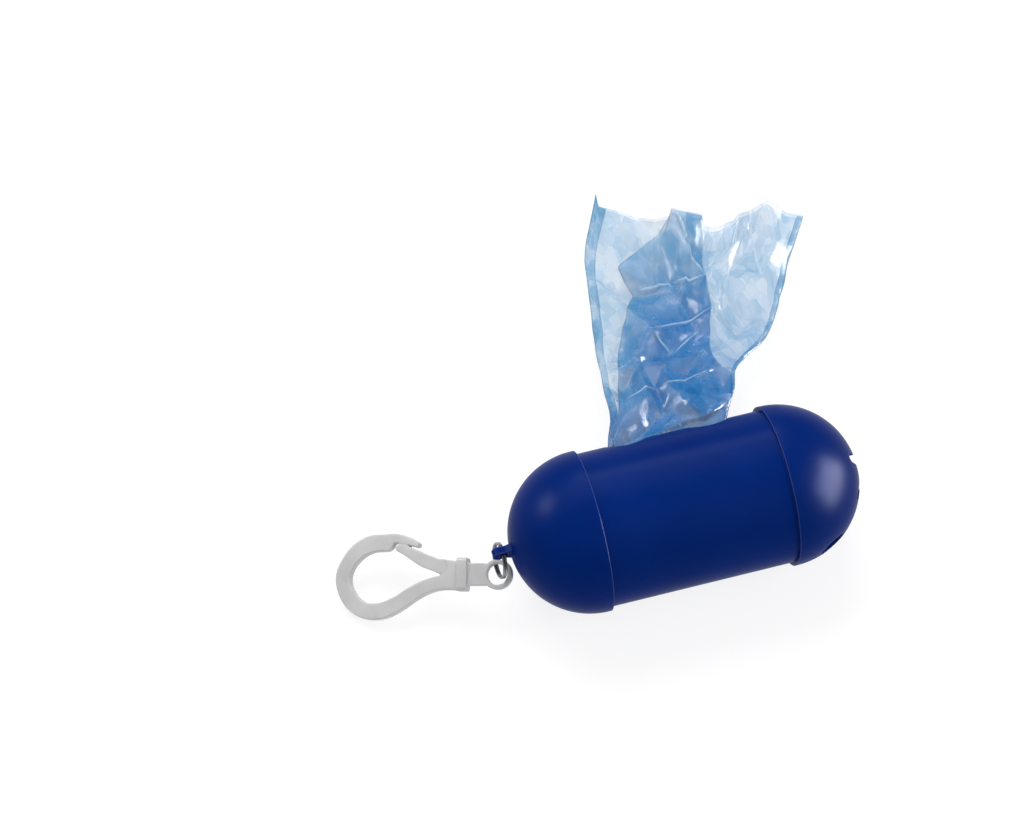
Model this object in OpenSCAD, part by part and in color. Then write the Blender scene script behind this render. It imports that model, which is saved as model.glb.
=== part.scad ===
// Pocket dispenser for dog waste bags: a capsule with two domed ends, a roll of
// bags inside, a bag drawn out through the bone-shaped window, and a snap hook
// on a split ring. Millimetres. The capsule lies on a table at z = 0 with its
// axis along X: the hook end is at -X, the star cap is at +X, and the window
// faces +Y. The origin is on the table, under the middle of the tube.

/* [Capsule] */
// Outer diameter of the tube
tube_d = 40; // [38:0.5:44]
// Wall of the tube
tube_wall = 1.6; // [1.4:0.1:1.8]
// Length of tube that shows between the two caps
tube_len = 49; // [46:0.5:60]
// Wall of the caps
cap_wall = 1.6; // [1.4:0.1:1.8]
// How far the rims of the caps stand proud of the tube
rim_step = 1; // [0.8:0.1:1.4]
// How far a dome's centre lies beyond the cap's rim
dome_offset = 0.6; // [0.2:0.1:1.2]
// Length of the neck that carries each cap
neck_len = 3.6; // [2.5:0.1:4.5]
// Radial gap between a neck and its cap
neck_gap = 0.05; // [0.03:0.01:0.1]

/* [Bone window] */
// Length of the window along the tube
bone_len = 33.6; // [28:0.2:36]
// Width of the window across its lobes
bone_w = 21; // [19:0.5:23]
// Width of the window at its waist
bone_waist = 14; // [12:0.5:15]
// Diameter of each of the four lobes
lobe_d = 12; // [10.5:0.5:13]
// How far above level the window faces, in degrees
window_tilt = 10; // [0:1:20]

/* [Star cap] */
// Number of fingers in the star-shaped opening
finger_count = 6; // [5:1:7]
// Width of a finger
finger_w = 2.6; // [2:0.1:3]
// Distance from the pole to the end of a finger
finger_reach = 11.4; // [10.5:0.1:12.5]
// Radius of the open middle, to the noses of the petals
star_open_r = 6.2; // [5.8:0.1:7]
// Corner radius of a petal's nose
nose_r = 2; // [1:0.1:2.8]
// Diameter of the round hole in the dome's flank
side_hole_d = 8; // [5:0.5:9]
// Angle between the cap's axis and the side hole
side_hole_lean = 63; // [60:1:68]
// Where the side hole lies around the axis, from +Y towards +Z
side_hole_turn = 190; // [180:1:230]

/* [Lug and split ring] */
// Height of the lug
lug_h = 3.6; // [3.4:0.1:4.4]
// Thickness of the lug
lug_t = 1.9; // [1.6:0.1:2.4]
// Distance from the dome's pole to the lug's hole
lug_hole_out = 1.9; // [1.7:0.1:2.4]
// Diameter of the lug's hole
lug_hole_d = 2.2; // [2.1:0.1:2.3]
// Outer diameter of the split ring
ring_d = 9.6; // [9.2:0.1:10.4]
// Diameter of the ring's wire, which makes two turns
wire_d = 0.6; // [0.5:0.05:0.7]
// How far the ring hangs away from the dome, in degrees
ring_lean = 10; // [8:1:14]

/* [Snap hook] */
// Thickness of the hook's loop
hook_t = 3.4; // [3:0.1:4]
// Outer diameter of the eye
eye_d = 7.8; // [7.6:0.1:8.2]
// Diameter of the eye's hole
eye_hole_d = 5.4; // [5.2:0.1:5.6]
// Thickness of the eye and neck
eye_t = 2.3; // [2:0.1:2.5]
// Width of the neck
hook_neck_w = 5.8; // [5:0.1:6]
// Width, length and thickness of the collar
collar_w = 8.6; // [7.8:0.1:9.4]
collar_len = 2.8; // [2.6:0.1:3.2]
collar_t = 4.6; // [4:0.1:5.4]
// Half the width of the loop's bar
bar_half = 2; // [1.8:0.05:2.1]
// Half the width of the gate
gate_half = 1.75; // [1.5:0.05:1.8]
// Gap between the gate and what it bears on
gate_gap = 0.08; // [0.05:0.01:0.15]
// Place of the hook on the ring, in degrees round it
hook_place = 225; // [218:1:228]
// Heading of the hook over the table, and its twist
hook_heading = 159; // [154:1:163]
hook_twist = -20.5; // [-24:0.5:-16]

/* [Bags] */
// Diameter of the roll of bags
roll_d = 27; // [20:0.5:28]
// Length of the roll
roll_len = 48; // [44:0.5:54]
// Outer diameter of the roll's core
core_d = 12; // [9:0.5:14]
// Wall of the core
core_wall = 1; // [0.8:0.1:1.5]
// Gap under the roll, and between the core and the film on it
roll_gap = 0.3; // [0.2:0.05:0.5]
// Width of film where it passes the window
film_w = 30; // [24:0.5:31]
// Thickness of the gathered film at the window
film_t = 1.4; // [1:0.1:1.8]
// Thickness of the crumpled bag on the table
bag_t = 5; // [4:0.5:6]
// Width of the bag's open end
bag_w = 56.5; // [50:0.5:60]
// Distance the bag reaches from the capsule's axis, along Y
bag_reach = 95; // [90:0.5:100]
// Heading of the drawn bag, in degrees from +Y towards +X
bag_heading = 21; // [10:1:26]

/* [Hidden] */
$fn = 96;
// overlap that lets cutters pass cleanly through a face
eps = 0.5;

tube_r = tube_d / 2;
bore_r = tube_r - tube_wall;
cap_r = tube_r + rim_step;
dome_bore_r = cap_r - cap_wall;
// the socket is wider than the dome's bore, which leaves a stop ledge
socket_r = dome_bore_r + 0.1;
neck_r = socket_r - neck_gap;
rim_x = tube_len / 2;
dome_x = rim_x + dome_offset;
pole_x = dome_x + cap_r;
axis_z = cap_r;

roll_z = axis_z - bore_r + roll_d / 2 + roll_gap;

ring_mid_r = (ring_d - wire_d) / 2;
ring_hole_x = -pole_x - lug_hole_out;
ring_lean_turn = [0, ring_lean, 0];

eye_r = eye_d / 2;
neck_start = eye_r - 0.8;
collar_start = 7.8;
collar_end = collar_start + collar_len;
gate_pivot = [collar_end + 4.5, 2.1];
knuckle_r = gate_half + 0.15;
// centre line of the loop's bar, from the collar round to the nose: each point
// is [distance from the eye, sideways, half the bar's width]
bar_points = [
    [collar_end - 0.4, -2.1, 0.95 * bar_half],
    [15, -2.2, 0.9 * bar_half],
    [18.6, -3.1, 0.9 * bar_half],
    [22.6, -5.1, 0.95 * bar_half],
    [26.4, -7.6, bar_half],
    [30.4, -9.3, 1.05 * bar_half],
    [34.6, -9.4, 1.05 * bar_half],
    [38.1, -7.5, bar_half],
    [40.4, -4.1, 0.95 * bar_half],
    [41.0, -0.4, 0.95 * bar_half],
    [39.7, 3.1, 0.95 * bar_half],
    [37.0, 6.2, 1.05 * bar_half],
    [33.6, 7.9, 1.1 * bar_half],
    [29.8, 8.2, 1.1 * bar_half]
];
// the nose of the hook, thinner so that the gate shuts against its inner side
nose_points = [
    [29.9, 9.0, 1.4],
    [27.0, 9.3, 1.25],
    [24.1, 8.8, 1.05],
    [21.4, 7.7, 0.75]
];
gate_points = [
    [gate_pivot.x, gate_pivot.y, gate_half],
    [17.2, 2.8, gate_half],
    [19.8, 3.8, gate_half],
    [22.2, 5.1, 0.85 * gate_half],
    [24.4, 6.2, 0.7 * gate_half],
    [26.1, 6.8, 0.55 * gate_half]
];

// ---- curves ----

// point at t between b and c on a smooth curve through a, b, c and d
function curve_point(a, b, c, d, t) =
    0.5 * (2 * b + (c - a) * t + (2 * a - 5 * b + 4 * c - d) * t * t
           + (3 * b - a - 3 * c + d) * t * t * t);

// a smooth line through the given points, with steps stretches between each two
function smooth_line(points, steps) =
    let (last = len(points) - 1)
    [for (i = [0 : last - 1], k = [0 : steps - 1])
        curve_point(points[max(i - 1, 0)], points[i], points[i + 1],
                    points[min(i + 2, last)], k / steps),
     points[last]];

// unit vector across the line at point i
function across(line, i) =
    let (a = line[max(i - 1, 0)], b = line[min(i + 1, len(line) - 1)],
         run = [b.x - a.x, b.y - a.y])
    [-run.y, run.x] / norm(run);

function flank(line, side) =
    [for (i = [0 : len(line) - 1])
        [line[i].x, line[i].y] + side * line[i].z * across(line, i)];

function reversed(list) = [for (i = [len(list) - 1 : -1 : 0]) list[i]];

// outline of a bar that follows a line of [x, y, half width] points and has a
// round far end
function bar_outline(line) =
    let (end = line[len(line) - 1], way = across(line, len(line) - 1), turn = atan2(way.y, way.x))
    concat(flank(line, 1),
           arc([end.x, end.y], end.z, turn - 20, turn - 160, 7),
           reversed(flank(line, -1)));

function arc(centre, r, from, to, steps) =
    [for (k = [0 : steps])
        let (a = from + (to - from) * k / steps) centre + r * [cos(a), sin(a)]];

// ---- capsule ----

module along_x(x) {
    translate([x, 0, axis_z]) rotate([0, 90, 0]) children();
}

module bone_outline() {
    lobe_x = (bone_len - lobe_d) / 2;
    lobe_y = (bone_w - lobe_d) / 2;
    for (x = [-lobe_x, lobe_x], y = [-lobe_y, lobe_y])
        translate([x, y]) circle(d = lobe_d);
    square([2 * lobe_x, bone_waist], center = true);
}

module body_tube() {
    color([0.02, 0.12, 0.5])
        difference() {
            union() {
                along_x(-rim_x) cylinder(r = tube_r, h = tube_len);
                along_x(-rim_x - neck_len) cylinder(r = neck_r, h = tube_len + 2 * neck_len);
            }
            along_x(-rim_x - neck_len - eps)
                cylinder(r = bore_r, h = tube_len + 2 * (neck_len + eps));
            translate([0, 0, axis_z])
                rotate([window_tilt - 90, 0, 0])
                    linear_extrude(tube_r + eps) bone_outline();
        }
}

// a cap's shell with its rim in the plane z = 0 and its pole towards +Z
module cap_shell() {
    difference() {
        translate([0, 0, dome_offset]) rotate([0, 90, 0]) sphere(r = cap_r);
        translate([0, 0, -2 * cap_r]) cylinder(r = 2 * cap_r, h = 2 * cap_r);
        translate([0, 0, dome_offset]) rotate([0, 90, 0]) sphere(r = dome_bore_r);
        translate([0, 0, -eps]) cylinder(r = socket_r, h = neck_len + 0.1 + eps);
    }
}

// the flat lug with its rounded end, in the XZ plane, with the dome's pole at x = 0
module lug() {
    rotate([90, 0, 0])
        translate([0, 0, -lug_t / 2])
            linear_extrude(lug_t)
                difference() {
                    union() {
                        polygon([[-lug_hole_out - 1, lug_h / 2 - 0.1], [-1, lug_h / 2 - 0.1],
                                 [cap_wall / 2, lug_h / 2 + 1], [cap_wall / 2, -lug_h / 2 - 1],
                                 [-1, 0.1 - lug_h / 2], [-lug_hole_out - 1, 0.1 - lug_h / 2]]);
                        translate([-lug_hole_out - 1, 0]) circle(d = lug_h);
                    }
                    translate([-lug_hole_out, 0]) circle(d = lug_hole_d);
                }
}

module hook_cap() {
    color([0.02, 0.12, 0.5]) {
        translate([-rim_x, 0, axis_z]) rotate([0, -90, 0]) cap_shell();
        translate([-pole_x, 0, axis_z]) lug();
    }
}

// outline of one finger of the star at a given angle round the pole, with the
// rounded petal corners on both sides of its mouth
function finger_points(turn) =
    let (corner_y = finger_w / 2 + nose_r,
         corner_x = sqrt((star_open_r + nose_r) ^ 2 - corner_y ^ 2),
         lean = atan2(corner_y, corner_x))
    [for (p = concat(arc([corner_x, -corner_y], nose_r, 180 - lean, 90, 5),
                     arc([finger_reach - finger_w / 2, 0], finger_w / 2, -90, 90, 10),
                     arc([corner_x, corner_y], nose_r, 270, 180 + lean, 5)))
        [p.x * cos(turn) - p.y * sin(turn), p.x * sin(turn) + p.y * cos(turn)]];

module star_outline() {
    step = 360 / finger_count;
    polygon([for (k = [0 : finger_count - 1]) each finger_points((k + 0.5) * step)]);
}

module star_cap() {
    color([0.02, 0.12, 0.5])
        difference() {
            along_x(rim_x) cap_shell();
            // a petal, not a finger, lies towards the side hole
            translate([0, 0, axis_z]) rotate([side_hole_turn, 0, 0]) {
                translate([dome_x, 0, 0])
                    rotate([0, 90, 0]) rotate(90) linear_extrude(cap_r + eps) star_outline();
                translate([dome_x, 0, 0])
                    rotate([0, 0, side_hole_lean]) rotate([0, 90, 0])
                        cylinder(d = side_hole_d, h = cap_r + eps);
            }
        }
}

// ---- roll and bag ----

module roll_core() {
    color([0.72, 0.6, 0.44])
        translate([-roll_len / 2, 0, roll_z]) rotate([0, 90, 0])
            difference() {
                cylinder(d = core_d, h = roll_len);
                translate([0, 0, -eps]) cylinder(d = core_d - 2 * core_wall, h = roll_len + 2 * eps);
            }
}

module bag_roll() {
    color([0.2, 0.45, 0.85])
        translate([-roll_len / 2, 0, roll_z]) rotate([0, 90, 0])
            difference() {
                cylinder(d = roll_d, h = roll_len);
                translate([0, 0, -eps])
                    cylinder(r = core_d / 2 + roll_gap / 3, h = roll_len + 2 * eps);
            }
}

// height at which the film passes the window, just over its lower edge
window_edge = [tube_r * cos(asin(bone_waist / 2 / tube_r) - window_tilt),
               axis_z - tube_r * sin(asin(bone_waist / 2 / tube_r) - window_tilt)];
film_z = window_edge.y + film_t / 2 + 0.9;

// where the film leaves the roll, on the line that touches the roll and runs
// to the inner side of the window
lead_end = [bore_r - 1, film_z + 0.3];
lead_run = norm([lead_end.x, lead_end.y - roll_z]);
lead_r = roll_d / 2 + roll_gap + film_t / 4;
lead_turn = atan2(lead_end.y - roll_z, lead_end.x) + acos(lead_r / lead_run);
lead_start = [lead_r * cos(lead_turn), roll_z + lead_r * sin(lead_turn)];

// the flat run of film between the roll and the window
module bag_lead() {
    run = lead_end - lead_start;
    color([0.45, 0.65, 0.92])
        translate([0, lead_start.x, lead_start.y])
            rotate([atan2(run.y, run.x), 0, 0])
                translate([-film_w / 2, 0, -film_t / 4])
                    cube([film_w, norm(run) - 0.4, film_t / 2]);
}

// where the drawn bag starts, just inside the window
bag_start = [0, bore_r - 0.6];
film_half = film_w / 2;
bag_half = bag_w / 2;
bag_run = bag_reach - bag_start.y;
bag_end = bag_run / cos(bag_heading);
// the drawn bag's stations: [distance from its start, left half width, right
// half width, middle height, thickness, share of the heading turned by then,
// how far the fold along its middle stands above its edges]
bag_stations = [
    [0, film_half - 0.6, film_half - 0.6, film_z, film_t, 0, 0],
    [3.6, film_half, film_half, film_z, film_t, 0.05, 0],
    [9, film_half + 0.6, film_half + 1.4, film_z - 0.4, 2.4, 0.1, 0.4],
    [16, film_half + 0.6, film_half + 2, film_z - 1.7, 3.6, 0.2, -0.6],
    [25.5, film_half + 3.2, film_half + 1.8, 13.4, bag_t - 0.6, 0.5, 1.2],
    [33, film_half + 5.6, film_half + 3.8, 10.6, bag_t, 0.8, -0.8],
    [42.5, bag_half - 5.7, bag_half - 4, 8.2, bag_t, 0.9, 1.6],
    [54, bag_half - 3.6, bag_half - 1, 5.8, bag_t, 1, -0.8],
    [67.5, bag_half - 2, bag_half + 0.5, bag_t / 2 + 1.6, bag_t, 1, 1.4],
    [bag_end, bag_half - 3.4, bag_half + 3.4, bag_t / 2, bag_t, 1, 0]
];

// six corners of the bag at a station, with the fold a little left of the middle
function bag_corners(s) =
    let (middle = bag_start + s[0] * [sin(bag_heading), cos(bag_heading)],
         lie = bag_heading * s[5],
         cross = [cos(lie), -sin(lie)],
         low = s[3] - s[4] / 2)
    [for (side = [[-s[1], 0], [-0.2 * s[1], s[6]], [s[2], 0]])
        let (spot = middle + side.x * cross) [spot.x, spot.y, low + side.y]];

module drawn_bag() {
    last = len(bag_stations) - 1;
    low = [for (s = bag_stations) each bag_corners(s)];
    high = [for (s = bag_stations, p = bag_corners(s)) p + [0, 0, s[4]]];
    // each panel is two triangles, between two stations and two corners
    skin = [for (i = [0 : last - 1], k = [0, 1])
        let (a = 3 * i + k, b = a + 1, c = a + 3, d = a + 4)
        each [[a, c, b], [b, c, d]]];
    rise = len(low);
    top = [for (f = skin) [f[0] + rise, f[2] + rise, f[1] + rise]];
    edges = [for (i = [0 : last - 1], k = [0, 2])
        let (a = 3 * i + k, b = a + 3, flip = k == 0)
        each flip ? [[a, a + rise, b], [b, a + rise, b + rise]]
                  : [[a, b, a + rise], [b, b + rise, a + rise]]];
    ends = [for (i = [0, last], k = [0, 1])
        let (a = 3 * i + k, b = a + 1, flip = i == 0)
        each flip ? [[a, b, a + rise], [b, b + rise, a + rise]]
                  : [[a, a + rise, b], [b, a + rise, b + rise]]];
    color([0.55, 0.72, 0.95])
        polyhedron(concat(low, high), concat(skin, top, edges, ends));
}

// ---- split ring and hook ----

// moves what is drawn with the lug's hole at its origin to the resting ring
module at_ring() {
    translate([ring_hole_x, 0, axis_z]) rotate(ring_lean_turn) children();
}

module split_ring() {
    half_turn = wire_d / 2;
    color([0.35, 0.36, 0.38])
        at_ring()
            translate([0, 0, -ring_mid_r]) rotate([0, 90, 0])
                rotate_extrude()
                    polygon([for (p = concat(arc([ring_mid_r, half_turn], half_turn, 0, 180, 8),
                                             arc([ring_mid_r, -half_turn], half_turn, 180, 360, 8))) p]);
}

// where the ring's wire passes through the hook's eye, and the eye round it
wire_in_eye = [ring_hole_x, 0, axis_z]
    + turned_y([0, ring_mid_r * cos(hook_place), ring_mid_r * (sin(hook_place) - 1)], ring_lean);
eye_shift = [0.85, -0.66];
function turned_y(p, a) = [p.x * cos(a) + p.z * sin(a), p.y, -p.x * sin(a) + p.z * cos(a)];

bar_edge = bar_outline(smooth_line(bar_points, 6));

// height of the loop's lowest point above the table at a given slope
function loop_height(slope) =
    wire_in_eye.z - hook_t / 2 * cos(slope) * cos(hook_twist)
    + min([for (p = bar_edge)
        (eye_shift.y - p.y) * sin(hook_twist) * cos(slope) - (eye_shift.x + p.x) * sin(slope)]);

// the slope at which the loop just rests on the table, by halving the range
function resting_slope(low, high, halvings) =
    let (mid = (low + high) / 2)
    halvings == 0 ? mid
    : loop_height(mid) > 0 ? resting_slope(mid, high, halvings - 1)
    : resting_slope(low, mid, halvings - 1);

hook_slope = resting_slope(0, 40, 20);

// the hook's own frame: +X from the eye to the loop, +Y towards the front
module at_hook() {
    translate(wire_in_eye)
        rotate([hook_twist, hook_slope, hook_heading])
            translate([eye_shift.x, eye_shift.y, 0])
                children();
}

// a flat plate of the hook, with the outline's sideways axis turned to the back
module hook_plate(thickness) {
    mirror([0, 1, 0])
        translate([0, 0, -thickness / 2]) linear_extrude(thickness) children();
}

module collar() {
    bevel = 0.7;
    corner = [collar_w / 2, collar_t / 2];
    outline = [for (s = [[1, 1], [-1, 1], [-1, -1], [1, -1]])
        each s.x * s.y > 0
            ? [[s.x * corner.x, s.y * (corner.y - bevel)], [s.x * (corner.x - bevel), s.y * corner.y]]
            : [[s.x * (corner.x - bevel), s.y * corner.y], [s.x * corner.x, s.y * (corner.y - bevel)]]];
    translate([collar_start, 0, 0])
        rotate([90, 0, 90]) linear_extrude(collar_len) polygon(outline);
}

module snap_hook() {
    color([0.86, 0.87, 0.92])
        at_hook() {
            difference() {
                union() {
                    cylinder(r = eye_r, h = eye_t, center = true);
                    translate([neck_start, -hook_neck_w / 2, -eye_t / 2])
                        cube([collar_start - neck_start + 0.2, hook_neck_w, eye_t]);
                }
                cylinder(d = eye_hole_d, h = eye_t + 2 * eps, center = true);
            }
            collar();
            difference() {
                hook_plate(hook_t) {
                    polygon(bar_edge);
                    polygon(bar_outline(smooth_line(nose_points, 6)));
                    // the root block that the gate springs from
                    polygon([[collar_end - 0.2, -3.8], [collar_end + 2, -3.9], [gate_pivot.x, -1.4],
                             [gate_pivot.x - 0.3, gate_pivot.y + gate_half + 0.1],
                             [collar_end - 0.2, 3.4]]);
                }
                hook_plate(hook_t + 2 * eps)
                    translate(gate_pivot) circle(r = knuckle_r + gate_gap);
            }
        }
}

module hook_gate() {
    color([0.86, 0.87, 0.92])
        at_hook() {
            hook_plate(hook_t) polygon(bar_outline(smooth_line(gate_points, 6)));
            translate([gate_pivot.x, -gate_pivot.y, 0])
                cylinder(r = knuckle_r, h = hook_t, center = true);
        }
}

body_tube();
hook_cap();
star_cap();
roll_core();
bag_roll();
bag_lead();
drawn_bag();
split_ring();
snap_hook();
hook_gate();
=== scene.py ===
import math
import random

import bmesh
import bpy
from mathutils import Matrix, Vector
from mathutils.bvhtree import BVHTree
from mathutils.geometry import delaunay_2d_cdt


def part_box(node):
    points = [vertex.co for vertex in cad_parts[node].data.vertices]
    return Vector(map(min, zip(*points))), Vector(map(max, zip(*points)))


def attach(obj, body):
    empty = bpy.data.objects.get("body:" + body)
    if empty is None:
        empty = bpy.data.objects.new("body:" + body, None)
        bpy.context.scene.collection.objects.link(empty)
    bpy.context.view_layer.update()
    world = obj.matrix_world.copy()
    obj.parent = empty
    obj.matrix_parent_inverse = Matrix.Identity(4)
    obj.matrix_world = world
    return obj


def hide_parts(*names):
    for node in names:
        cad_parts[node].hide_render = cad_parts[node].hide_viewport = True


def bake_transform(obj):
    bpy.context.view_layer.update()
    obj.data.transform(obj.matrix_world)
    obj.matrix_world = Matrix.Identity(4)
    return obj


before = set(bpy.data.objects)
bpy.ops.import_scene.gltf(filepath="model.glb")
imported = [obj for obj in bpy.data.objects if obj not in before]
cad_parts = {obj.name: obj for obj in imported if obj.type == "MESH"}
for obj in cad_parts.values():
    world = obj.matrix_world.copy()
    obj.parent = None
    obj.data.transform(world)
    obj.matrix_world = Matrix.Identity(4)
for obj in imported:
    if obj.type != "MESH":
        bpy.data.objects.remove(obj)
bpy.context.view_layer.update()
mm = 0.001


# ---- Table, camera and lamps ----
# The dispenser lies on a plain white table top. A long lens looks down on it from the
# front left, and large soft lamps stand behind it and at both of its ends.
def looking_back(azimuth, elevation):
    """Unit vector from the object towards something at that azimuth and elevation."""
    return Vector((
        math.sin(azimuth) * math.cos(elevation),
        -math.cos(azimuth) * math.cos(elevation),
        math.sin(elevation),
    ))


def aim(item, target):
    """Turns a camera or lamp towards a point."""
    item.rotation_euler = (target - item.location).to_track_quat("-Z", "Y").to_euler()


view_width = 258.4 * mm
view_centre = Vector((-39.2, 31.2, 31.7)) * mm
view_azimuth = math.radians(-15)
view_elevation = math.radians(62)
camera_data = bpy.data.cameras.new("camera")
camera_data.lens = 112
camera_data.sensor_width = 36
camera_distance = view_width * camera_data.lens / camera_data.sensor_width
camera = bpy.data.objects.new("camera", camera_data)
camera.location = view_centre + camera_distance * looking_back(view_azimuth, view_elevation)
aim(camera, view_centre)
bpy.context.scene.collection.objects.link(camera)
bpy.context.scene.camera = camera


capsule_middle = Vector((0, 0, 21)) * mm


def soft_lamp(name, direction, distance, width, height, watts, lights=False, shines=True):
    """An area lamp, in metres, that lights the capsule, shines in its surfaces, or does both."""
    lamp = bpy.data.lights.new(name, "AREA")
    lamp.shape = "RECTANGLE"
    lamp.size = width
    lamp.size_y = height
    lamp.energy = watts
    item = bpy.data.objects.new(name, lamp)
    item.location = capsule_middle + distance * Vector(direction).normalized()
    aim(item, capsule_middle)
    item.visible_diffuse = lights
    item.visible_glossy = shines
    bpy.context.scene.collection.objects.link(item)


soft_lamp("lamp_over_back", (-0.1, 0.75, 1.0), 1.1, 0.9, 0.6, 8, lights=True)
soft_lamp("lamp_front", (0.7, -0.7, 1.0), 1.2, 0.9, 0.6, 4.5, lights=True, shines=False)
soft_lamp("shine_left_end", (-0.72, 0.54, 0.43), 0.8, 0.25, 0.25, 7)
soft_lamp("shine_right_end", (0.95, -0.28, 0.07), 0.7, 0.55, 0.8, 115)
soft_lamp("shine_back", (0.1, 0.85, 0.55), 0.9, 0.35, 0.08, 2.2)

studio = bpy.data.worlds.new("studio")
studio.use_nodes = True
studio_light = studio.node_tree.nodes["Background"]
studio_light.inputs["Color"].default_value = (1, 1, 1, 1)
studio_light.inputs["Strength"].default_value = 0.4
bpy.context.scene.world = studio
bpy.context.scene.view_settings.view_transform = "Standard"


def seen_directly(tree):
    """1 for camera, glossy and transmission rays, and 0 for the rays that light things."""
    path = tree.nodes.new("ShaderNodeLightPath")
    seen = path.outputs["Is Camera Ray"]
    for ray in ("Is Glossy Ray", "Is Transmission Ray"):
        either = tree.nodes.new("ShaderNodeMath")
        either.operation = "MAXIMUM"
        tree.links.new(seen, either.inputs[0])
        tree.links.new(path.outputs[ray], either.inputs[1])
        seen = either.outputs[0]
    return seen


def mesh_piece(name, points, faces, smooth=True):
    """A new object whose mesh has those points, in metres, and faces."""
    mesh = bpy.data.meshes.new(name)
    mesh.from_pydata([tuple(p) for p in points], [], faces)
    mesh.validate()
    if smooth:
        mesh.shade_smooth()
    item = bpy.data.objects.new(name, mesh)
    bpy.context.scene.collection.objects.link(item)
    return item


def white_table():
    """Matt white that lights things as a white sheet would, and is seen as nearly pure white."""
    material = bpy.data.materials.new("white_table")
    material.use_nodes = True
    tree = material.node_tree
    tree.nodes.clear()
    lighting = tree.nodes.new("ShaderNodeBsdfDiffuse")
    lighting.inputs["Color"].default_value = (0.8, 0.8, 0.8, 1)
    shaded = tree.nodes.new("ShaderNodeBsdfDiffuse")
    shaded.inputs["Color"].default_value = (0.28, 0.28, 0.29, 1)
    glow = tree.nodes.new("ShaderNodeEmission")
    glow.inputs["Color"].default_value = (1, 1, 1, 1)
    glow.inputs["Strength"].default_value = 0.8
    seen = tree.nodes.new("ShaderNodeAddShader")
    mix = tree.nodes.new("ShaderNodeMixShader")
    out = tree.nodes.new("ShaderNodeOutputMaterial")
    tree.links.new(shaded.outputs[0], seen.inputs[0])
    tree.links.new(glow.outputs[0], seen.inputs[1])
    tree.links.new(seen_directly(tree), mix.inputs["Fac"])
    tree.links.new(lighting.outputs[0], mix.inputs[1])
    tree.links.new(seen.outputs[0], mix.inputs[2])
    tree.links.new(mix.outputs[0], out.inputs["Surface"])
    return material


table_half = 4.0
table_corners = [(-table_half, -table_half, 0), (table_half, -table_half, 0)]
table_corners += [(table_half, table_half, 0), (-table_half, table_half, 0)]
table_top = mesh_piece("table_top", table_corners, [(0, 1, 2, 3)], smooth=False)
table_top.data.materials.append(white_table())


# ---- Tube with the bone-shaped window ----
# A thin tube injection-moulded in deep blue plastic, with a fine semi-gloss skin. Its edges
# are a little rounded and paler, partly from rubbing and partly as a painted highlight along the rims.
def new_group(name, inputs, outputs):
    """An empty shader node group with float inputs and the given (name, type) outputs."""
    group = bpy.data.node_groups.new(name, "ShaderNodeTree")
    for label, value in inputs:
        socket = group.interface.new_socket(label, in_out="INPUT", socket_type="NodeSocketFloat")
        socket.default_value = value
    for label, kind in outputs:
        group.interface.new_socket(label, in_out="OUTPUT", socket_type=kind)
    return group, group.nodes.new("NodeGroupInput"), group.nodes.new("NodeGroupOutput")


def new_material(name):
    """A node material, with its node tree and its shader."""
    material = bpy.data.materials.new(name)
    material.use_nodes = True
    return material, material.node_tree, material.node_tree.nodes["Principled BSDF"]


def bumpy_normal(tree, height, strength, distance, normal=None):
    """The normal of a surface that is raised by a height, on top of another normal if given."""
    bump = tree.nodes.new("ShaderNodeBump")
    bump.inputs["Strength"].default_value = strength
    bump.inputs["Distance"].default_value = distance
    tree.links.new(height, bump.inputs["Height"])
    if normal:
        tree.links.new(normal, bump.inputs["Normal"])
    return bump.outputs["Normal"]


def noise_at(tree, vector, scale, detail=3.0):
    """A noise texture at a scale, which is a number or another node's output."""
    texture = tree.nodes.new("ShaderNodeTexNoise")
    texture.inputs["Detail"].default_value = detail
    tree.links.new(vector, texture.inputs["Vector"])
    if isinstance(scale, (int, float)):
        texture.inputs["Scale"].default_value = scale
    else:
        tree.links.new(scale, texture.inputs["Scale"])
    return texture.outputs["Fac"]


def spread(tree, value, low, high, to_low=0.0, to_high=1.0):
    """The value's stretch from low to high, laid over another stretch."""
    ranges = tree.nodes.new("ShaderNodeMapRange")
    ranges.inputs["From Min"].default_value = low
    ranges.inputs["From Max"].default_value = high
    ranges.inputs["To Min"].default_value = to_low
    ranges.inputs["To Max"].default_value = to_high
    tree.links.new(value, ranges.inputs["Value"])
    return ranges.outputs["Result"]


def blend_colours(tree, mask, first, second):
    """A mix of two colours by a mask. Either colour may be another node's output."""
    mix = tree.nodes.new("ShaderNodeMix")
    mix.data_type = "RGBA"
    tree.links.new(mask, mix.inputs["Factor"])
    for socket, colour in ((mix.inputs["A"], first), (mix.inputs["B"], second)):
        if isinstance(colour, tuple):
            socket.default_value = colour
        else:
            tree.links.new(colour, socket)
    return mix.outputs["Result"]


def place_group(tree, group, **values):
    """A group's node in a material, with its own values."""
    node = tree.nodes.new("ShaderNodeGroup")
    node.node_tree = group
    for label, value in values.items():
        node.inputs[label].default_value = value
    return node


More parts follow.
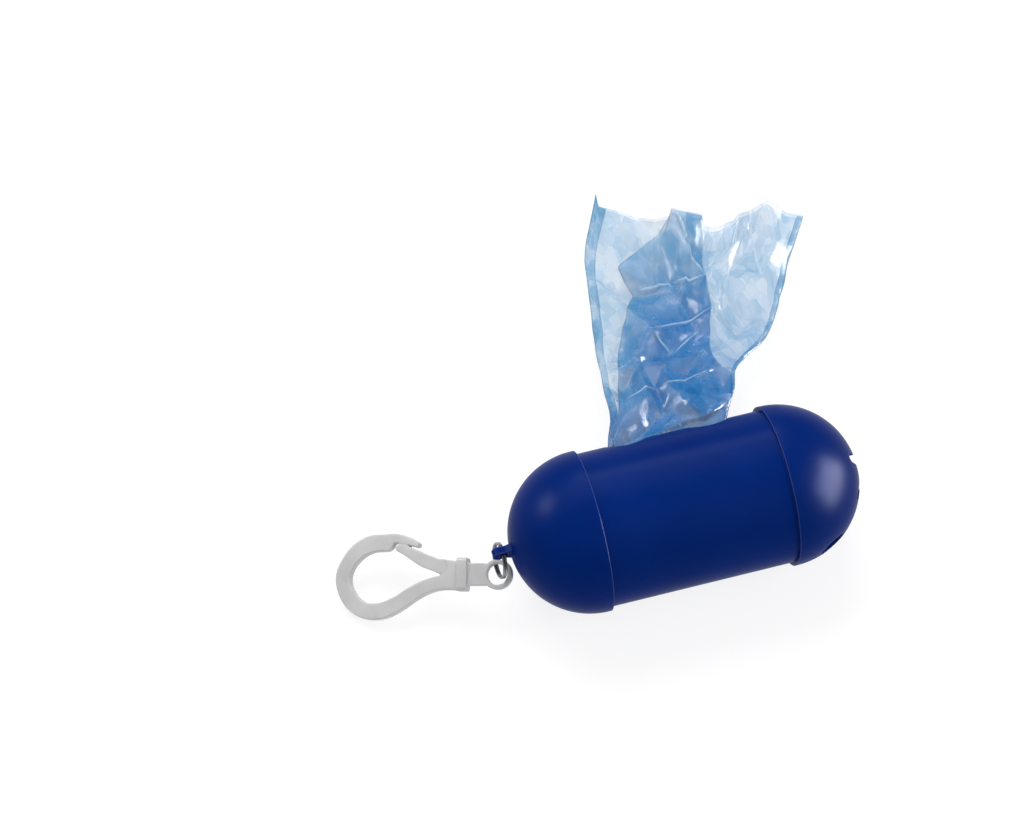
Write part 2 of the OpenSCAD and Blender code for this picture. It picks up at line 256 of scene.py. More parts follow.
def make_moulded_skin():
    """Fine grain, cloudy flow marks and rubbing scratches of a moulded plastic surface."""
    group, inputs, outputs = new_group(
        "moulded_skin",
        [("Grain", 2600.0), ("Cloud", 55.0)],
        [("Height", "NodeSocketFloat"), ("Clouds", "NodeSocketFloat"), ("Rubbed", "NodeSocketFloat")],
    )
    place = group.nodes.new("ShaderNodeTexCoord").outputs["Object"]
    grain = noise_at(group, place, inputs.outputs["Grain"])
    clouds = noise_at(group, place, inputs.outputs["Cloud"], 5.0)
    scratch_map = group.nodes.new("ShaderNodeMapping")
    scratch_map.inputs["Scale"].default_value = (90, 1400, 1400)
    scratch_map.inputs["Rotation"].default_value = (0.3, 0.2, 0.5)
    group.links.new(place, scratch_map.inputs["Vector"])
    scratches = noise_at(group, scratch_map.outputs["Vector"], 1.0, 2.0)
    group.links.new(grain, outputs.inputs["Height"])
    group.links.new(spread(group, clouds, 0.3, 0.7), outputs.inputs["Clouds"])
    group.links.new(spread(group, scratches, 0.62, 0.75), outputs.inputs["Rubbed"])
    return group


def make_edge_wear_and_painted_light():
    """A mask that is 1 along sharp outer and inner edges, and a normal that rounds them."""
    group, inputs, outputs = new_group(
        "edge_wear_and_painted_light", [], [("Edge", "NodeSocketFloat"), ("Rounded", "NodeSocketVector")]
    )
    bevel = group.nodes.new("ShaderNodeBevel")
    bevel.samples = 6
    bevel.inputs["Radius"].default_value = 0.5 * mm
    surface = group.nodes.new("ShaderNodeNewGeometry").outputs["Normal"]
    agree = group.nodes.new("ShaderNodeVectorMath")
    agree.operation = "DOT_PRODUCT"
    group.links.new(bevel.outputs["Normal"], agree.inputs[0])
    group.links.new(surface, agree.inputs[1])
    group.links.new(spread(group, agree.outputs["Value"], 0.995, 0.8), outputs.inputs["Edge"])
    group.links.new(bevel.outputs["Normal"], outputs.inputs["Rounded"])
    return group


moulded_skin = make_moulded_skin()
edge_wear_and_painted_light = make_edge_wear_and_painted_light()
shell_blue = (0.0002, 0.016, 0.145, 1)
flow_mark_blue = (0.0004, 0.021, 0.18, 1)
# paler edge colour: partly rubbing wear, partly a painted highlight along the rims
worn_and_lit_edge_blue = (0.09, 0.13, 0.5, 1)


def blue_shell_plastic():
    """Deep royal blue semi-gloss plastic."""
    material, tree, shader = new_material("blue_shell_plastic")
    skin = place_group(tree, moulded_skin, Grain=2300.0, Cloud=45.0)
    edges = place_group(tree, edge_wear_and_painted_light)
    clouds = skin.outputs["Clouds"]
    # the edges are painted paler: partly rubbing wear, partly a painted highlight along the rims
    worn_and_lit_edges = spread(tree, edges.outputs["Edge"], 0.0, 0.7, 0.0, 0.8)
    tone = blend_colours(tree, clouds, shell_blue, flow_mark_blue)
    tree.links.new(blend_colours(tree, worn_and_lit_edges, tone, worn_and_lit_edge_blue), shader.inputs["Base Color"])
    tree.links.new(spread(tree, clouds, 0.0, 1.0, 0.3, 0.38), shader.inputs["Roughness"])
    grain = bumpy_normal(tree, skin.outputs["Height"], 0.12, 0.05 * mm, edges.outputs["Rounded"])
    tree.links.new(grain, shader.inputs["Normal"])
    shader.inputs["Specular IOR Level"].default_value = 0.02
    return material


def dress(node, material):
    """Gives a CAD node's object one material in place of its plain one."""
    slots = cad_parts[node].data.materials
    slots.clear()
    slots.append(material)


blue_shell = blue_shell_plastic()
dress("body_tube", blue_shell)


# ---- Caps ----
# Two domed caps of the same plastic as the tube. One has the lug for the ring, and the other
# has the star-shaped opening for a finger and pulls off for a new roll.
dress("hook_cap", blue_shell)
dress("star_cap", blue_shell)


# ---- Card core ----
# A short tube of grey-brown card wound on a slant, on which the film is rolled. It comes with
# each refill and turns loosely inside the tube.
pale_card = (0.42, 0.33, 0.22, 1)
fibre_card = (0.6, 0.49, 0.35, 1)
card_speck = (0.3, 0.22, 0.14, 1)


def wound_card():
    """Matt card with fibres and the slanting seams of its winding."""
    material, tree, shader = new_material("wound_card")
    place = tree.nodes.new("ShaderNodeTexCoord").outputs["Object"]
    slant = tree.nodes.new("ShaderNodeMapping")
    slant.inputs["Rotation"].default_value = (0, 0, 0.6)
    slant.inputs["Scale"].default_value = (1600, 160, 160)
    tree.links.new(place, slant.inputs["Vector"])
    fibres = noise_at(tree, slant.outputs["Vector"], 1.0, 4.0)
    specks = spread(tree, noise_at(tree, place, 900.0), 0.55, 0.75, 0.0, 0.4)
    tone = blend_colours(tree, fibres, pale_card, fibre_card)
    tree.links.new(blend_colours(tree, specks, tone, card_speck), shader.inputs["Base Color"])
    tree.links.new(spread(tree, fibres, 0.3, 0.7, 0.75, 0.92), shader.inputs["Roughness"])
    tree.links.new(bumpy_normal(tree, fibres, 0.4, 0.08 * mm), shader.inputs["Normal"])
    return material


dress("roll_core", wound_card())


# ---- Roll of bags ----
# Folded bags of thin blue film, wound tight on the core. The film's edges make fine uneven
# rings on the ends, and its outside has soft wrinkles along the roll.
rolled_film_blue = (0.05, 0.2, 0.62, 1)
deep_film_blue = (0.02, 0.1, 0.42, 1)


def rolled_film():
    """Layers of thin blue film: satin, with small creases."""
    material, tree, shader = new_material("rolled_film")
    place = tree.nodes.new("ShaderNodeTexCoord").outputs["Object"]
    clouds = spread(tree, noise_at(tree, place, 60.0, 4.0), 0.35, 0.65)
    tone = blend_colours(tree, clouds, rolled_film_blue, deep_film_blue)
    tree.links.new(tone, shader.inputs["Base Color"])
    streaks = noise_at(tree, place, 420.0, 3.0)
    tree.links.new(spread(tree, streaks, 0.3, 0.7, 0.18, 0.34), shader.inputs["Roughness"])
    creases = tree.nodes.new("ShaderNodeTexVoronoi")
    creases.feature = "DISTANCE_TO_EDGE"
    creases.inputs["Scale"].default_value = 420.0
    tree.links.new(place, creases.inputs["Vector"])
    crease_depth = spread(tree, creases.outputs["Distance"], 0.0, 0.25)
    tree.links.new(bumpy_normal(tree, crease_depth, 0.25, 0.25 * mm), shader.inputs["Normal"])
    return material


roll_low, roll_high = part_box("bag_roll")
roll_r = (roll_high.z - roll_low.z) / 2
bore_r = 6.15 * mm
windings = 16
outside_steps = 28
rounded_edge = 0.15 * mm
deepest_inset = 0.5
slack = 0.05 * mm


def roll_end(side, chance):
    """Places (x, radius) over one end of the roll from its bore outwards, in uneven rings."""
    places = []
    for k in range(windings + 1):
        r = bore_r + (roll_r - rounded_edge - bore_r) * k / windings
        inset = chance.uniform(0.0, deepest_inset) * mm
        places.append((roll_low.x + inset if side < 0 else roll_high.x - inset, r))
    return places


def wound_roll():
    """The roll's surface, as rings of points round its axis from one bore's mouth to the other."""
    chance = random.Random(5)
    first_end = roll_end(-1, chance)
    length = roll_high.x - roll_low.x
    outside = [
        (roll_low.x + length * k / outside_steps, roll_r - 2 * slack) for k in range(1, outside_steps)
    ]
    profile = first_end + outside + roll_end(1, chance)[::-1]
    axis_y = (roll_low.y + roll_high.y) / 2
    axis_z = (roll_low.z + roll_high.z) / 2
    spokes = 96
    points = []
    for x, r in profile:
        outermost = max(0.0, (r - bore_r) / (roll_r - bore_r) - 0.9) / 0.1
        for k in range(spokes):
            a = math.tau * k / spokes
            wrinkle = math.sin(9 * a + 60 * x) + math.sin(23 * a - 110 * x + 1.0)
            dented = r - slack * outermost * (2 + wrinkle)
            points.append((x, axis_y + dented * math.cos(a), axis_z + dented * math.sin(a)))
    rings = len(profile)
    faces = []
    for i in range(rings):
        j = (i + 1) % rings
        for k in range(spokes):
            n = (k + 1) % spokes
            faces.append((i * spokes + k, i * spokes + n, j * spokes + n, j * spokes + k))
    return mesh_piece("wound_film_roll", points, faces)


film_roll = wound_roll()
film_roll.data.materials.append(rolled_film())
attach(film_roll, "roll")
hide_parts("bag_roll")


# ---- Drawn bag ----
# One bag of very thin blue film, pulled off the roll and out through the window. It is a flat
# tube with its sides tucked in, folded over itself along the middle, gathered at the window
# and crumpled where it lies on the table.
film_width = 54.0
film_length = 98.0
# rows from the roll to the open end: left edge x and y, right edge x and y, and height, in mm
film_rows = [
    (-15.0, 9.9, 15.0, 9.9, 26.7),
    (-14.5, 17.5, 15.5, 17.5, 20.2),
    (-13.2, 24.5, 18.6, 23.5, 18.2),
    (-9.9, 33.5, 22.6, 31.0, 16.2),
    (-8.7, 45.0, 25.6, 38.5, 12.2),
    (-7.9, 54.5, 29.8, 43.5, 9.3),
    (-6.0, 65.0, 38.1, 49.5, 7.0),
    (-3.6, 77.0, 44.8, 58.5, 5.4),
    (-0.3, 90.5, 50.9, 70.2, 4.4),
    (6.4, 104.0, 59.2, 83.7, 4.0),
]
# how far the open end stands out, in mm, at shares of its width from left to right
end_profile = [
    (0.0, 3.0), (0.02, -1.0), (0.155, -2.7), (0.3, -4.5), (0.365, -3.6), (0.37, -1.6), (0.515, -1.2),
    (0.525, -4.9), (0.675, -3.6), (0.76, 2.0), (0.83, 3.4), (0.91, 1.9), (1.0, 0.0),
]
# where the folded-over part begins and ends across the bag, on the way to the open end
overlap_left = [
    (0.0, 0.04), (0.26, 0.04), (0.35, 0.07), (0.44, 0.12), (0.59, 0.16), (0.65, 0.17), (0.72, 0.2),
    (0.785, 0.245), (0.85, 0.17), (0.96, 0.33), (1.0, 0.37),
]
overlap_right = [
    (0.0, 0.97), (0.42, 0.98), (0.46, 0.9), (0.53, 0.82), (0.63, 0.71), (0.7, 0.67), (0.75, 0.66),
    (0.85, 0.615), (0.93, 0.566), (1.0, 0.515),
]
# corners of the large folds: share across, share of the way to the open end, height in mm
fold_corners = [
    (0.0, 0.16, 0.0), (0.12, 0.3, 1.6), (0.28, 0.22, -0.6), (0.3, 0.38, 1.8), (0.42, 0.29, -0.9),
    (0.49, 0.375, 1.5), (0.62, 0.31, 1.7), (0.75, 0.34, 0.0), (0.82, 0.23, 1.2), (0.92, 0.37, -0.6),
    (1.0, 0.3, 0.0), (0.14, 0.41, -1.5), (0.39, 0.4, -1.1), (0.63, 0.42, -1.6), (1.0, 0.43, 1.6),
    (0.0, 0.45, 0.4), (0.3, 0.5, 0.9), (0.467, 0.49, 1.9), (0.83, 0.48, 1.7), (0.51, 0.56, -1.1),
    (0.7, 0.56, 0.4), (1.0, 0.56, 0.2), (0.157, 0.59, -0.9), (0.34, 0.64, 2.3), (0.61, 0.67, -1.2),
    (0.83, 0.62, 1.7), (0.05, 0.64, 0.8), (0.2, 0.72, 1.4), (0.31, 0.75, 0.0), (0.665, 0.74, 2.1),
    (0.85, 0.735, -1.0), (1.0, 0.72, 0.9), (0.245, 0.787, -1.6), (0.45, 0.8, -0.9), (0.05, 0.82, 0.9),
    (0.612, 0.851, 1.8), (0.72, 0.84, 1.3), (0.17, 0.85, 1.2), (0.9, 0.84, 2.0), (1.0, 0.86, -0.2),
    (0.5, 0.918, 2.0), (0.57, 0.93, -1.0), (0.33, 0.96, -1.3), (0.72, 0.92, 1.9), (0.8, 0.93, -1.6),
    (0.92, 0.93, 1.4), (0.03, 0.93, 1.4), (0.15, 0.95, 0.5), (0.38, 1.0, 2.0), (0.52, 1.0, 0.2),
    (0.6, 1.0, -1.0), (0.7, 1.0, 1.7), (0.76, 1.0, -1.2), (0.83, 1.0, 2.4), (0.92, 1.0, 0.3),
    (1.0, 1.0, 1.5), (0.0, 1.0, 0.8), (0.2, 1.0, -0.6),
]
# narrow creases pinched into the film, from one share across and down to another
pinched_creases = [
    (0.38, 1.0, 0.5, 0.918), (0.5, 0.918, 0.612, 0.851), (0.612, 0.851, 0.665, 0.739),
    (0.683, 0.845, 0.699, 0.734), (0.34, 0.64, 0.665, 0.739), (0.355, 0.633, 0.528, 0.559),
    (0.528, 0.559, 0.626, 0.682), (0.256, 0.798, 0.441, 0.824), (0.441, 0.824, 0.612, 0.851),
    (0.7, 1.0, 0.719, 0.836), (0.126, 0.371, 0.424, 0.392), (0.424, 0.392, 0.835, 0.448),
    (0.068, 0.597, 0.151, 0.587), (0.76, 0.97, 0.71, 0.8), (0.8, 0.93, 0.9, 0.84),
]
# how closely the layers lie on each other, along the fold and on the side to its right
fold_closeness = [(0.0, 1.0), (0.7, 1.0), (0.78, 0.8), (0.9, 0.3), (1.0, 0.2)]
side_closeness = [
    (0.0, 1.0), (0.35, 1.0), (0.42, 0.55), (0.55, 0.6), (0.68, 0.25), (0.8, 0.1), (1.0, 0.0),
]


def between(a, b, c, d, t):
    """Point at t between b and c on a smooth curve through a, b, c and d."""
    return tuple(
        0.5 * (
            2 * q
            + (r - p) * t
            + (2 * p - 5 * q + 4 * r - s) * t * t
            + (3 * q - p - 3 * r + s) * t ** 3
        )
        for p, q, r, s in zip(a, b, c, d)
    )


def along_rows(rows, share):
    """The row at a share of the way from the first to the last."""
    last = len(rows) - 1
    place = min(share, 0.9999) * last
    i = int(place)
    picked = [rows[max(0, min(last, i + k))] for k in (-1, 0, 1, 2)]
    return between(*picked, place - i)


def on_profile(profile, share):
    """Straight-line value of a list of (share, value) pairs."""
    for (a, low), (b, high) in zip(profile, profile[1:]):
        if share <= b:
            return low + (high - low) * (share - a) / (b - a)
    return profile[-1][1]


class FacetField:
    """Flat facets between sharp creases that join the given corners, in mm."""

    def __init__(self, corners):
        mesh = delaunay_2d_cdt([Vector(c[:2]) for c in corners], [], [], 0, 1e-4)
        heights = [corners[origins[0]][2] for origins in mesh[3]]
        points = [(p.x, p.y, z) for p, z in zip(mesh[0], heights)]
        self.facets = BVHTree.FromPolygons(points, mesh[2])

    def height(self, across, down):
        """Height of the facet over a point, or 0 beyond the facets."""
        hit = self.facets.ray_cast(Vector((across, down, 50)), Vector((0, 0, -1)))[0]
        return hit.z if hit else 0.0


def loose_corners(spacing, stretch, seed):
    """Corners of crumples at about that spacing, longer along the film by the stretch."""
    chance = random.Random(seed)
    shake = 0.48
    margin = 2 * spacing
    corners = []
    for i in range(int((film_width + 2 * margin) / spacing) + 1):
        for k in range(int((film_length / stretch + 2 * margin) / spacing) + 1):
            corners.append((
                -margin + (i + chance.uniform(-shake, shake)) * spacing,
                (-margin + (k + chance.uniform(-shake, shake)) * spacing) * stretch,
                chance.uniform(-1, 1),
            ))
    return corners


middle_spacing = 9.0
small_spacing = 4.2
layer_seeds = (31, 47, 53, 71)
large_folds = FacetField([(a * film_width, d * film_length, z) for a, d, z in fold_corners])
middle_folds = [FacetField(loose_corners(middle_spacing, 1.5, seed)) for seed in layer_seeds]
small_folds = [FacetField(loose_corners(small_spacing, 1.3, seed + 100)) for seed in layer_seeds]
# the room between two layers, in mm, and how far the sides are tucked in, in shares across
film_gap = 0.5
tuck_left = 0.055
tuck_right = 0.03


def section_path(down):
    """The film's path round the bag's section: for each run its layer, its steps, where it starts
    and ends across the bag, and its level at its start, middle and end in film gaps."""
    left = on_profile(overlap_left, down)
    right = on_profile(overlap_right, down)
    return [
        (0, 84, 0.0, right, (2.5, 3.0, 3.5)),
        (1, 60, right, left, (3.5, 4.0, 4.5)),
        (2, 84, left, 1.0, (4.5, 5.0, 3.5)),
        (2, 8, 1.0, 1 - tuck_right, (3.5, 3.0, 2.5)),
        (3, 8, 1 - tuck_right, 1.0, (2.5, 2.0, 1.0)),
        (3, 96, 1.0, 0.0, (1.0, 0.0, 1.0)),
        (3, 8, 0.0, tuck_left, (1.0, 1.5, 2.0)),
        (0, 8, tuck_left, 0.0, (2.0, 2.3, 2.5)),
    ]


def ramp(value, low, high):
    """0 below low, 1 above high and straight between them."""
    return min(1.0, max(0.0, (value - low) / (high - low)))


crease_half_width = 0.6
crease_ridge = 0.05
crease_end_share = 0.35


def pinch(share, down):
    """1 in the middle of a pinched crease, falling to 0 beside it and less at its ends."""
    spot = Vector((share * film_width, down * film_length))
    strongest = 0.0
    for a, b, c, d in pinched_creases:
        start = Vector((a * film_width, b * film_length))
        run = Vector((c * film_width, d * film_length)) - start
        t = min(1.0, max(0.0, (spot - start).dot(run) / run.length_squared))
        beside = (spot - start - t * run).length
        sharpness = crease_end_share + (1 - crease_end_share) * math.sin(math.pi * t) ** 0.7
        strongest = max(strongest, sharpness * ramp(beside, crease_half_width, crease_ridge))
    return strongest


def layers_and_painted_shade(share, down):
    """1 where many layers lie close on each other or gather at the window, and 0 where the film is
    single. Its deeper blue is partly stacked film and partly painted shade: of the lower layers,
    and of the tube's dark inside under the film at the window.
    """
    left = on_profile(overlap_left, down)
    right = on_profile(overlap_right, down)
    soft = 0.006
    inside = ramp(share, left - soft, left + soft) * ramp(share, right + soft, right - soft)
    closer = 0.4 + 0.6 * ramp(share, left, left + 0.25)
    folded = inside * on_profile(fold_closeness, down) * closer
    side = ramp(share, left, right) * on_profile(side_closeness, down)
    # painted shade: the film over the window is deepened as if shaded by the tube's dark inside
    gathered = ramp(down, 0.42, 0.3)
    return max(folded, 0.9 * side, gathered)


large_lift = 1.25
middle_lift = 0.8
small_lift = 0.15
own_middle_lift = 0.13
own_small_lift = 0.05
crease_lift = 0.5
hem = 0.05


def crumple(layer, share, down, free):
    """How far the folds, facets and creases lift the film, in mm. Each layer adds its own."""
    across = share * film_width
    along = down * film_length
    inside_across = min(max(across, hem), film_width - hem)
    inside_along = min(along, film_length - hem)
    return (
        large_lift * large_folds.height(inside_across, inside_along)
        + middle_lift * middle_folds[0].height(across, along)
        + small_lift * small_folds[0].height(across, along)
        + free * own_middle_lift * middle_folds[layer].height(across, along)
        + free * own_small_lift * small_folds[layer].height(across, along)
        + crease_lift * pinch(share, down)
    )


film_run = Vector((0.358, 0.934))
film_lowest = 0.25
sideways = 0.7
held_gap_share = 0.3


def film_point(layer, share, down, level, free):
    """Place of a point of the film, in mm. Free is 0 at a fold and 1 away from it."""
    row = along_rows(film_rows, down)
    open_end = ramp(down, 0.75, 1.0)
    loose = ramp(down, 0.06, 0.26)
    across = share * film_width
    along = down * film_length
    spot = Vector((row[0], row[1])).lerp(Vector((row[2], row[3])), share)
    spot += film_run * on_profile(end_profile, min(1.0, max(0.0, share))) * open_end
    spot += loose * Vector((
        sideways * middle_folds[0].height(across + middle_spacing, along),
        sideways * middle_folds[0].height(across, along + middle_spacing),
    ))
    height = max(row[4] + loose * crumple(layer, share, down, free), film_lowest)
    gap = film_gap * (held_gap_share + (1 - held_gap_share) * loose)
    return Vector((spot.x, spot.y, height + gap * level))


def drawn_film():
    """The whole film as one folded tube, open at both ends."""
    lines = 230
    fold_roundness = 0.35
    points = []
    layer_and_shade_values = []
    pinches = []
    for k in range(lines + 1):
        down = k / lines
        for layer, steps, start, end, levels in section_path(down):
            for i in range(steps):
                t = i / steps
                free = (4 * t * (1 - t)) ** fold_roundness
                level = levels[0] + (levels[2] - levels[0]) * t
                level += (levels[1] - (levels[0] + levels[2]) / 2) * free
                share = start + (end - start) * t
                points.append(film_point(layer, share, down, level, free) * mm)
                layer_and_shade_values.append(layers_and_painted_shade(share, down))
                pinches.append(pinch(share, down))
    round_count = len(points) // (lines + 1)
    faces = []
    for k in range(lines):
        for i in range(round_count):
            n = (i + 1) % round_count
            base = k * round_count
            faces.append((base + i, base + n, base + round_count + n, base + round_count + i))
    piece = mesh_piece("drawn_film", points, faces)
    for label, values in (("layers_and_shade", layer_and_shade_values), ("pinched", pinches)):
        piece.data.attributes.new(label, "FLOAT", "POINT").data.foreach_set("value", values)
    return piece


# size and lean of the large and the small facets
facet_kinds = ((9.0 * mm, 0.4), (3.5 * mm, 0.3))


def make_film_facets():
    """Small flat facets of crumpled film at two sizes: a tilted normal and an uneven tone."""
    group, inputs, outputs = new_group(
        "film_facets", [], [("Tilted", "NodeSocketVector"), ("Tone", "NodeSocketFloat")]
    )
    stretch = group.nodes.new("ShaderNodeMapping")
    stretch.inputs["Scale"].default_value = (1.0, 0.6, 3.0)
    stretch.inputs["Rotation"].default_value = (0.0, 0.0, 0.5)
    group.links.new(group.nodes.new("ShaderNodeTexCoord").outputs["Object"], stretch.inputs["Vector"])
    bend = group.nodes.new("ShaderNodeTexNoise")
    bend.inputs["Scale"].default_value = 90.0
    group.links.new(stretch.outputs["Vector"], bend.inputs["Vector"])
    place = group.nodes.new("ShaderNodeVectorMath")
    place.operation = "MULTIPLY_ADD"
    place.inputs[1].default_value = (0.004, 0.004, 0.004)
    group.links.new(bend.outputs["Color"], place.inputs[0])
    group.links.new(stretch.outputs["Vector"], place.inputs[2])
    tilted = group.nodes.new("ShaderNodeNewGeometry").outputs["Normal"]
    for facet_size, lean in facet_kinds:
        cells = group.nodes.new("ShaderNodeTexVoronoi")
        cells.inputs["Scale"].default_value = 1 / facet_size
        group.links.new(place.outputs["Vector"], cells.inputs["Vector"])
        centred = group.nodes.new("ShaderNodeVectorMath")
        centred.operation = "SUBTRACT"
        centred.inputs[1].default_value = (0.5, 0.5, 0.5)
        group.links.new(cells.outputs["Color"], centred.inputs[0])
        leaning = group.nodes.new("ShaderNodeVectorMath")
        leaning.operation = "MULTIPLY_ADD"
        leaning.inputs[1].default_value = (lean, lean, lean)
        group.links.new(centred.outputs["Vector"], leaning.inputs[0])
        group.links.new(tilted, leaning.inputs[2])
        tilted = leaning.outputs["Vector"]
    unit = group.nodes.new("ShaderNodeVectorMath")
    unit.operation = "NORMALIZE"
    group.links.new(tilted, unit.inputs[0])
    group.links.new(unit.outputs["Vector"], outputs.inputs["Tilted"])
    group.links.new(spread(group, cells.outputs["Color"], 0.25, 0.75), outputs.inputs["Tone"])
    return group


def added_up(tree, *terms):
    """The sum of (value, share) pairs, each value times its share."""
    total = None
    for value, share in terms:
        add = tree.nodes.new("ShaderNodeMath")
        add.operation = "MULTIPLY_ADD"
        add.inputs[1].default_value = share
        add.inputs[2].default_value = 0.0
        tree.links.new(value, add.inputs[0])
        if total:
            tree.links.new(total, add.inputs[2])
        total = add.outputs["Value"]
    return total


film_blue = (0.03, 0.33, 0.62, 1)
# deeper blue of stacked film, partly painted shade of the lower layers
layered_and_shaded_film_blue = (0.01, 0.21, 0.56, 1)
# pale colour painted along creases as a highlight
crease_highlight_white = (0.66, 0.83, 0.95, 1)


def crumpled_film():
    """Thin clear blue film, deeper where it is folded over itself, partly as painted shade, and with
    painted highlights along its creases.
    """
    material, tree, shader = new_material("crumpled_film")
    facets = place_group(tree, make_film_facets())
    masks = {}
    for label in ("layers_and_shade", "pinched"):
        mask = tree.nodes.new("ShaderNodeAttribute")
        mask.attribute_name = label
        masks[label] = mask.outputs["Fac"]
    # deeper blue where layers overlap and at the window: stacked film and painted shade
    body = blend_colours(tree, masks["layers_and_shade"], film_blue, layered_and_shaded_film_blue)
    # painted highlight along the pinched creases
    pinched = spread(tree, masks["pinched"], 0.3, 1.0, 0.0, 0.9)
    tone = blend_colours(tree, pinched, body, crease_highlight_white)
    tree.links.new(tone, shader.inputs["Base Color"])
    place = tree.nodes.new("ShaderNodeTexCoord").outputs["Object"]
    streaks = noise_at(tree, place, 300.0, 3.0)
    tree.links.new(spread(tree, streaks, 0.3, 0.7, 0.2, 0.32), shader.inputs["Roughness"])
    edge_on = tree.nodes.new("ShaderNodeLayerWeight")
    edge_on.inputs["Blend"].default_value = 0.35
    tree.links.new(facets.outputs["Tilted"], edge_on.inputs["Normal"])
    thickness = added_up(
        tree,
        (edge_on.outputs["Facing"], 0.32),
        (masks["layers_and_shade"], 0.2),
        (facets.outputs["Tone"], 0.14),
        (pinched, 0.3),
    )
    tree.links.new(spread(tree, thickness, 0.0, 1.0, 0.16, 1.16), shader.inputs["Alpha"])
    tree.links.new(facets.outputs["Tilted"], shader.inputs["Normal"])
    shader.inputs["Specular IOR Level"].default_value = 0.3
    return material


film = drawn_film()
film.data.materials.append(crumpled_film())
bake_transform(film)
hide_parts("drawn_bag", "bag_lead")


# ---- Split ring ----
# Two close turns of plated spring wire, with square-cut ends and the step where one turn
# crosses over to the other. It passes through the lug's hole and the hook's eye.
wire_r = 0.3 * mm
ring_lean = math.radians(10)


bright_steel = (0.3, 0.31, 0.33, 1)
dull_steel = (0.16, 0.17, 0.19, 1)


def plated_wire():
    """Bright plated steel with fine drawing marks along the wire."""
    material, tree, shader = new_material("plated_wire")
    place = tree.nodes.new("ShaderNodeTexCoord").outputs["Object"]
    marks = noise_at(tree, place, 2600.0, 4.0)
    tarnish = spread(tree, noise_at(tree, place, 320.0, 4.0), 0.4, 0.7)
    tree.links.new(blend_colours(tree, tarnish, bright_steel, dull_steel), shader.inputs["Base Color"])
    tree.links.new(spread(tree, marks, 0.3, 0.7, 0.16, 0.32), shader.inputs["Roughness"])
    tree.links.new(bumpy_normal(tree, marks, 0.15, 0.02 * mm), shader.inputs["Normal"])
    shader.inputs["Metallic"].default_value = 1.0
    return material


def wire_sweep(path, radius, sides):
    """Points and faces of a round wire along a path, with flat ends."""
    points = []
    for i, spot in enumerate(path):
        run = path[min(i + 1, len(path) - 1)] - path[max(i - 1, 0)]
        turn = run.to_track_quat("Z", "X")
        for k in range(sides):
            a = math.tau * k / sides
            points.append(spot + turn @ Vector((radius * math.cos(a), radius * math.sin(a), 0)))
    faces = []
    for i in range(len(path) - 1):
        base = i * sides
        for k in range(sides):
            n = (k + 1) % sides
            faces.append((base + k, base + n, base + sides + n, base + sides + k))
    first = tuple(range(sides))[::-1]
    last = tuple((len(path) - 1) * sides + k for k in range(sides))
    return points, faces + [first, last]


def split_ring_wire():
    """Two turns beside each other round the ring's own axis."""
    low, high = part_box("split_ring")
    centre = (low + high) / 2
    mean_r = (high.y - low.y) / 2 - wire_r
    turn = Matrix.Rotation(ring_lean, 3, "Y")
    start = math.radians(60)
    steps = 160
    cross_start = 0.44
    cross_length = 0.12
    clearance = 1.02
    path = []
    for i in range(steps + 1):
        wound = i / steps
        a = start + 2 * math.tau * wound
        step = min(1.0, max(0.0, (wound - cross_start) / cross_length))
        side = wire_r * (2 * step * step * (3 - 2 * step) - 1) * clearance
        path.append(centre + turn @ Vector((side, mean_r * math.cos(a), mean_r * math.sin(a))))
    points, faces = wire_sweep(path, wire_r, 16)
    return mesh_piece("split_ring_wire", points, faces)


ring_wire = split_ring_wire()
ring_wire.data.materials.append(plated_wire())
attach(ring_wire, "ring")
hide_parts("split_ring")


# ---- Snap hook and its gate ----
# One moulding of white acetal: an eye, a flat neck, a thick collar and a loop with a springy
# gate. Every edge is rounded by the mould, and handling has left it slightly grey. Its edges
# and inner corners are painted darker as shade.
acetal_grey = (0.54, 0.54, 0.545, 1)
acetal_white = (0.64, 0.64, 0.64, 1)
rubbed_grey = (0.4, 0.4, 0.41, 1)
# dark grey painted into the edges and inner corners as shade
shaded_rim_grey = (0.25, 0.25, 0.26, 1)


def white_acetal():
    """Slightly grey white plastic with a waxy sheen."""
    material, tree, shader = new_material("white_acetal")
    skin = place_group(tree, moulded_skin, Grain=3200.0, Cloud=130.0)
    edges = place_group(tree, edge_wear_and_painted_light)
    clouds = skin.outputs["Clouds"]
    rubbed = spread(tree, skin.outputs["Rubbed"], 0.0, 1.0, 0.0, 0.2)
    # painted shade: the edges and inner corners are darkened
    painted_rim_shade = spread(tree, edges.outputs["Edge"], 0.0, 1.0, 0.0, 0.45)
    tone = blend_colours(tree, clouds, acetal_grey, acetal_white)
    tone = blend_colours(tree, rubbed, tone, rubbed_grey)
    tree.links.new(blend_colours(tree, painted_rim_shade, tone, shaded_rim_grey), shader.inputs["Base Color"])
    tree.links.new(spread(tree, clouds, 0.0, 1.0, 0.32, 0.45), shader.inputs["Roughness"])
    grain = bumpy_normal(tree, skin.outputs["Height"], 0.15, 0.05 * mm)
    tree.links.new(grain, shader.inputs["Normal"])
    shader.inputs["Subsurface Weight"].default_value = 0.15
    shader.inputs["Subsurface Radius"].default_value = (1.0, 1.0, 1.0)
    shader.inputs["Subsurface Scale"].default_value = 1.2 * mm
    return material


def apply_modifier(item, kind, **settings):
    """Adds a modifier with those settings and makes its result the object's mesh."""
    modifier = item.modifiers.new(kind.lower(), kind)
    for label, value in settings.items():
        setattr(modifier, label, value)
    shape = bpy.data.meshes.new_from_object(item.evaluated_get(bpy.context.evaluated_depsgraph_get()))
    item.modifiers.clear()
    item.data = shape


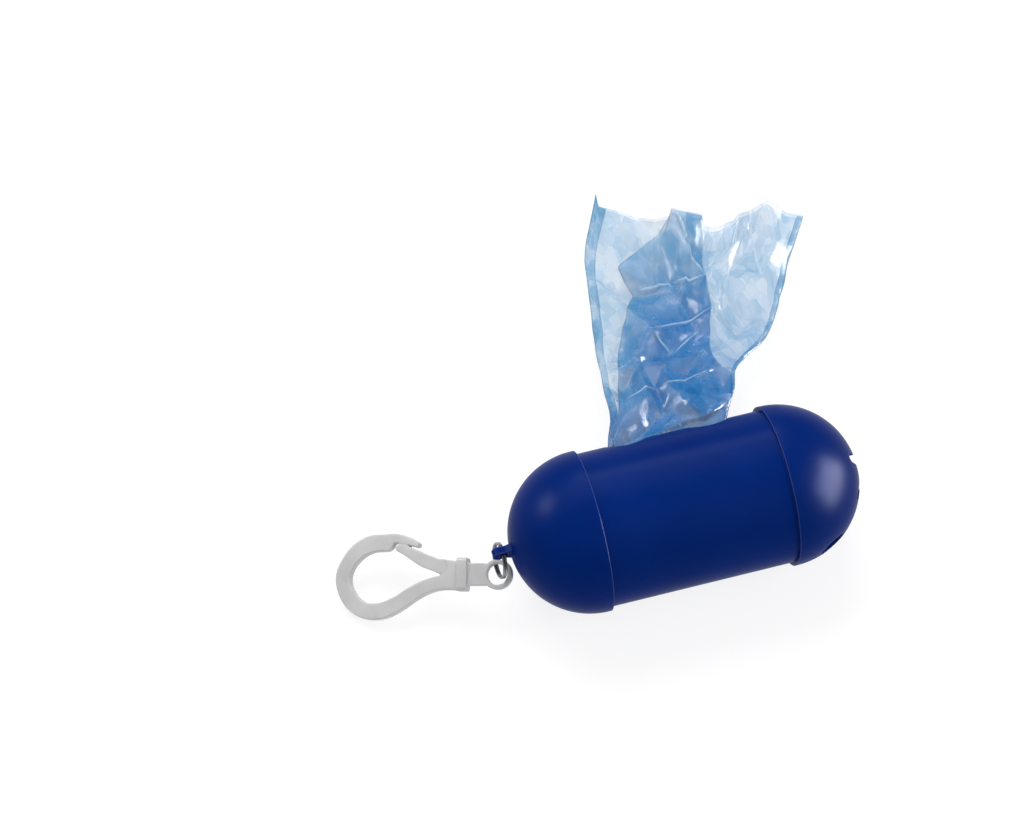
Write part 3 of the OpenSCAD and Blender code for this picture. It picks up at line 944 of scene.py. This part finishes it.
def fused_moulding(nodes, voxel, rounds):
    """The shapes of some CAD nodes as one, with its edges and inner corners rounded."""
    joined = bmesh.new()
    for node in nodes:
        joined.from_mesh(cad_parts[node].data)
    mesh = bpy.data.meshes.new("fused_moulding")
    joined.to_mesh(mesh)
    joined.free()
    item = bpy.data.objects.new("fused_moulding", mesh)
    bpy.context.scene.collection.objects.link(item)
    apply_modifier(item, "REMESH", mode="VOXEL", voxel_size=voxel)
    apply_modifier(item, "SMOOTH", factor=0.5, iterations=rounds)
    return item


def cut_out(item, name, wanted):
    """A piece of the item's faces whose centres are wanted, closed where it was cut."""
    shape = bmesh.new()
    shape.from_mesh(item.data)
    others = [face for face in shape.faces if not wanted(face.calc_center_median())]
    bmesh.ops.delete(shape, geom=others, context="FACES")
    cut = [edge for edge in shape.edges if edge.is_boundary]
    closed = bmesh.ops.holes_fill(shape, edges=cut, sides=0)["faces"]
    bmesh.ops.triangulate(shape, faces=closed)
    mesh = bpy.data.meshes.new(name)
    shape.to_mesh(mesh)
    shape.free()
    mesh.shade_smooth()
    piece = bpy.data.objects.new(name, mesh)
    bpy.context.scene.collection.objects.link(piece)
    return piece


def node_surface(node):
    """A CAD node's surface, for finding the distance to it."""
    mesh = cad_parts[node].data
    return BVHTree.FromPolygons([v.co for v in mesh.vertices], [p.vertices for p in mesh.polygons])


hook_surface = node_surface("snap_hook")
gate_surface = node_surface("hook_gate")


def on_gate(spot):
    """Whether a point of the fused moulding is nearer the gate than the rest of the hook."""
    return gate_surface.find_nearest(spot)[3] < hook_surface.find_nearest(spot)[3]


voxel = 0.15 * mm
smoothing_rounds = 22
moulding = fused_moulding(("snap_hook", "hook_gate"), voxel, smoothing_rounds)
hook_piece = cut_out(moulding, "hook_moulding", lambda spot: not on_gate(spot))
gate_piece = cut_out(moulding, "gate_moulding", on_gate)
bpy.data.objects.remove(moulding)
acetal = white_acetal()
for piece, body, node in ((hook_piece, "hook", "snap_hook"), (gate_piece, "gate", "hook_gate")):
    piece.data.materials.append(acetal)
    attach(piece, body)
    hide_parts(node)
